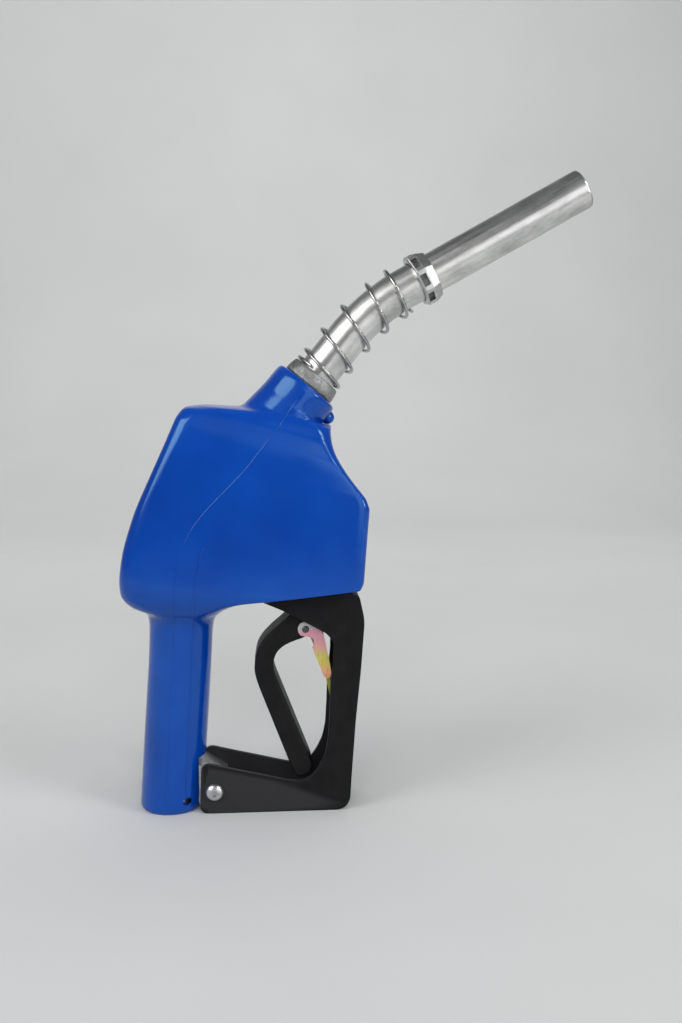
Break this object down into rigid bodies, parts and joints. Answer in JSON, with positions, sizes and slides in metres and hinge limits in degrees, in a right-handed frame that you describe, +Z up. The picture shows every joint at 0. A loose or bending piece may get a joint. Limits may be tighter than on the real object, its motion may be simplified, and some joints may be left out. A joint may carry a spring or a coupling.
{
  "type": "fuel nozzle",
  "caption": "Automatic fuel dispensing nozzle with a blue hand cover, a black lever and guard, a hold-open clip, and an angled metal spout with a wire coil and collar.",
  "frame": {"origin": "centre of the bounding box at the floor, under the foot of the handle and the lower bar of the lever guard", "axes": "+Z up with the handle standing on its inlet end, +X toward the spout tip, +Y away from the viewer; the XZ plane is the plane of symmetry"},
  "size_m": [0.2756, 0.062, 0.3771],
  "materials": {
    "anchor_spring": "bright wire",
    "body_casting": "as cast",
    "cap_o_ring": "moulded",
    "check_valve_poppet": "turned",
    "check_valve_seat": "turned",
    "check_valve_spring": "plain steel",
    "clip_rivet": "plain steel",
    "clip_spring": "plain steel",
    "diaphragm": "moulded",
    "diaphragm_cap": "as cast",
    "diaphragm_nut": "plain steel",
    "diaphragm_plate": "plain steel",
    "diaphragm_screw_1": "plain steel",
    "diaphragm_screw_2": "plain steel",
    "diaphragm_screw_3": "plain steel",
    "diaphragm_screw_4": "plain steel",
    "diaphragm_spring": "plain steel",
    "guard_nut": "plain steel",
    "guard_screw": "plain steel",
    "guard_washer": "plain steel",
    "hand_cover": "glossy vinyl",
    "hold_open_clip": "yellow zinc passivated",
    "inlet_strainer": "plain steel",
    "latch_ball_1": "plain steel",
    "latch_ball_2": "plain steel",
    "latch_ball_3": "plain steel",
    "latch_pin": "plain steel",
    "latch_plunger": "plain steel",
    "latch_plunger_spring": "plain steel",
    "latch_ring": "plain steel",
    "latch_sleeve": "turned",
    "lever": "moulded black",
    "lever_guard": "moulded black",
    "lever_pin": "plain steel",
    "main_valve_cap": "as cast",
    "main_valve_disc": "moulded",
    "main_valve_poppet": "turned",
    "main_valve_seat": "turned",
    "main_valve_spring": "plain steel",
    "main_valve_stem": "plain steel",
    "packing_nut": "turned",
    "spout_adapter": "as cast",
    "spout_collar": "bright zinc plated",
    "spout_set_screw": "plain steel",
    "spout_tube": "drawn, bright",
    "stem_packing": "moulded",
    "vent_tube": "plain steel"
  },
  "bodies": {
    "nozzle_body": {"anchor_spring": "anchor_spring", "body_casting": "body_casting", "cap_o_ring": "cap_o_ring", "check_valve_seat": "check_valve_seat", "check_valve_spring": "check_valve_spring", "diaphragm": "diaphragm", "diaphragm_cap": "diaphragm_cap", "diaphragm_screw_1": "diaphragm_screw_1", "diaphragm_screw_2": "diaphragm_screw_2", "diaphragm_screw_3": "diaphragm_screw_3", "diaphragm_screw_4": "diaphragm_screw_4", "diaphragm_spring": "diaphragm_spring", "guard_nut": "guard_nut", "guard_screw": "guard_screw", "guard_washer": "guard_washer", "hand_cover": "hand_cover", "inlet_strainer": "inlet_strainer", "latch_plunger_spring": "latch_plunger_spring", "latch_ring": "latch_ring", "latch_sleeve": "latch_sleeve", "lever_guard": "lever_guard", "main_valve_cap": "main_valve_cap", "main_valve_seat": "main_valve_seat", "main_valve_spring": "main_valve_spring", "packing_nut": "packing_nut", "spout_adapter": "spout_adapter", "spout_collar": "spout_collar", "spout_set_screw": "spout_set_screw", "spout_tube": "spout_tube", "stem_packing": "stem_packing", "vent_tube": "vent_tube"},
    "latch_plunger_body": {"latch_plunger": "latch_plunger", "lever_pin": "lever_pin", "latch_ball_1": "latch_ball_1", "latch_ball_2": "latch_ball_2", "latch_ball_3": "latch_ball_3"},
    "lever_body": {"lever": "lever", "clip_rivet": "clip_rivet", "clip_spring": "clip_spring"},
    "clip_body": {"hold_open_clip": "hold_open_clip"},
    "main_valve_body": {"main_valve_stem": "main_valve_stem", "main_valve_disc": "main_valve_disc", "main_valve_poppet": "main_valve_poppet"},
    "latch_pin_body": {"latch_pin": "latch_pin", "diaphragm_plate": "diaphragm_plate", "diaphragm_nut": "diaphragm_nut"},
    "check_valve_body": {"check_valve_poppet": "check_valve_poppet"}
  },
  "joints": [
    {"name": "latch_release", "type": "slide", "parent": "nozzle_body", "child": "latch_plunger_body", "axis": [0.7431, 0, -0.6691], "range_m": [0, 0.006], "stiffness_N_per_m": 500, "springref_m": -0.012, "deforming": ["latch_plunger_spring", "latch_ball_1", "latch_ball_2", "latch_ball_3"]},
    {"name": "lever_squeeze", "type": "hinge", "parent": "latch_plunger_body", "child": "lever_body", "pos_m": [-0.01881, 0, 0.144], "axis": [0, 1, 0], "range_deg": [0, 17], "stiffness_Nm_per_rad": 0.6, "springref_deg": -22.92},
    {"name": "hold_open_clip_swing", "type": "hinge", "parent": "lever_body", "child": "clip_body", "pos_m": [-0.03091, 0, 0.1104], "axis": [0, 1, 0], "range_deg": [-8, 0], "stiffness_Nm_per_rad": 0.03, "springref_deg": 17.19},
    {"name": "main_valve_lift", "type": "slide", "parent": "nozzle_body", "child": "main_valve_body", "axis": [-0.9272, 0, 0.3746], "range_m": [0, 0.0088], "deforming": ["main_valve_spring"]},
    {"name": "diaphragm_lift", "type": "slide", "parent": "nozzle_body", "child": "latch_pin_body", "axis": [-0.7431, 0, 0.6691], "range_m": [0, 0.0025], "stiffness_N_per_m": 800, "springref_m": -0.002, "deforming": ["diaphragm_spring", "diaphragm"]},
    {"name": "check_valve_open", "type": "slide", "parent": "nozzle_body", "child": "check_valve_body", "axis": [0.6361, 0, 0.7716], "range_m": [0, 0.005], "stiffness_N_per_m": 300, "springref_m": -0.005, "deforming": ["check_valve_spring"]}
  ],
  "couplings": [
    {"joint": "main_valve_lift", "follows": "lever_squeeze", "m_per_rad": 0.0292}
  ]
}
